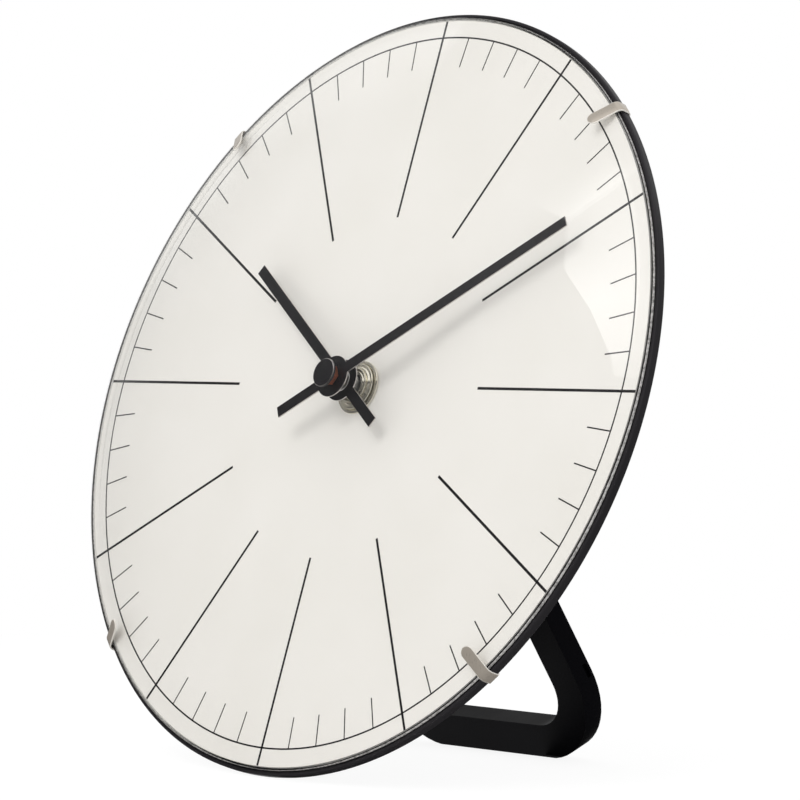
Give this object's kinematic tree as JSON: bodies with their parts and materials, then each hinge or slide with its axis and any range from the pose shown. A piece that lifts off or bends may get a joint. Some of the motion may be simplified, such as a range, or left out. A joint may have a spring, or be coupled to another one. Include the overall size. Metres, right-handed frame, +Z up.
{
  "type": "table clock",
  "caption": "Round table clock with a domed glass over a white line dial, baton hands, a quartz movement and a hinged loop stand.",
  "frame": {"origin": "middle of the footprint of the whole clock, on the table top", "axes": "+Z up, +X to the right of the dial, -Y the way the dial faces; the dial leans back by 18.95 degrees"},
  "size_m": [0.2018, 0.092, 0.1914],
  "materials": {
    "black_paint": "black semi-gloss paint",
    "dial_print": "matt warm white print",
    "clear_glass": "polished, ground at the edge",
    "nickel": "satin nickel",
    "brass": "turned brass",
    "copper": "copper",
    "steel": "plain steel",
    "black_plastic": "fine moulded grain",
    "pale_plastic": "smooth moulded",
    "rubber": "matt",
    "circuit_green": "solder resist",
    "battery_sleeve": "plain printed sleeve"
  },
  "bodies": {
    "clock": {"case": "black_paint", "dial": "dial_print", "glass": "clear_glass", "glass_clip_1": "nickel", "glass_clip_2": "nickel", "glass_clip_3": "nickel", "glass_clip_4": "nickel", "bushing": "brass", "flange_washer": "nickel", "centre_nut": "nickel", "rubber_washer": "rubber", "movement_front_shell": "black_plastic", "movement_rear_shell": "black_plastic", "train_plate": "pale_plastic", "stator": "steel", "coil": "copper", "circuit_board": "circuit_green", "quartz_crystal": "steel", "battery": "battery_sleeve", "positive_contact": "nickel", "negative_contact": "nickel", "stand_bracket": "black_paint", "hinge_pin": "steel", "bracket_screw_1": "steel", "bracket_screw_2": "steel"},
    "minute_hand_body": {"minute_pipe": "brass", "minute_hand": "black_paint", "minute_nut": "copper"},
    "hour_hand_body": {"hour_wheel": "black_plastic", "hour_hand": "black_paint"},
    "setting_body": {"motion_wheel": "pale_plastic", "setting_knob": "pale_plastic"},
    "seconds_body": {"seconds_wheel": "brass", "centre_cap": "black_paint"},
    "centre_wheel_body": {"centre_wheel": "pale_plastic"},
    "third_wheel_body": {"third_wheel": "pale_plastic"},
    "intermediate_wheel_body": {"intermediate_wheel": "pale_plastic"},
    "rotor_body": {"rotor": "steel"},
    "stand_body": {"stand": "black_plastic"}
  },
  "joints": [
    {"name": "minute_turn", "type": "hinge", "parent": "clock", "child": "minute_hand_body", "pos_m": [0, -0.01001, 0.09624], "axis": [0, 0.9458, -0.3247], "continuous": true},
    {"name": "hour_turn", "type": "hinge", "parent": "clock", "child": "hour_hand_body", "pos_m": [0, -0.01001, 0.09624], "axis": [0, 0.9458, -0.3247], "continuous": true},
    {"name": "setting_turn", "type": "hinge", "parent": "clock", "child": "setting_body", "pos_m": [-0.00174, -0.00681, 0.10556], "axis": [0, 0.9458, -0.3247], "continuous": true},
    {"name": "seconds_turn", "type": "hinge", "parent": "clock", "child": "seconds_body", "pos_m": [0, -0.01001, 0.09624], "axis": [0, 0.9458, -0.3247], "continuous": true},
    {"name": "centre_wheel_turn", "type": "hinge", "parent": "clock", "child": "centre_wheel_body", "pos_m": [0, -0.01001, 0.09624], "axis": [0, 0.9458, -0.3247], "continuous": true},
    {"name": "third_wheel_turn", "type": "hinge", "parent": "clock", "child": "third_wheel_body", "pos_m": [0.00831, -0.00903, 0.0991], "axis": [0, 0.9458, -0.3247], "continuous": true},
    {"name": "intermediate_wheel_turn", "type": "hinge", "parent": "clock", "child": "intermediate_wheel_body", "pos_m": [-0.00723, -0.00865, 0.10019], "axis": [0, 0.9458, -0.3247], "continuous": true},
    {"name": "rotor_turn", "type": "hinge", "parent": "clock", "child": "rotor_body", "pos_m": [-0.01214, -0.00865, 0.10019], "axis": [0, 0.9458, -0.3247], "continuous": true},
    {"name": "stand_fold", "type": "hinge", "parent": "clock", "child": "stand_body", "pos_m": [0, 0.01204, 0.07778], "axis": [1, 0, 0], "range_deg": [-40.9, 0]}
  ],
  "couplings": [
    {"joint": "hour_turn", "follows": "minute_turn", "ratio": 0.083333},
    {"joint": "setting_turn", "follows": "minute_turn", "ratio": -0.33333},
    {"joint": "third_wheel_turn", "follows": "seconds_turn", "ratio": -0.13333},
    {"joint": "centre_wheel_turn", "follows": "seconds_turn", "ratio": 0.016667},
    {"joint": "intermediate_wheel_turn", "follows": "seconds_turn", "ratio": -7.5},
    {"joint": "rotor_turn", "follows": "seconds_turn", "ratio": 30}
  ]
}
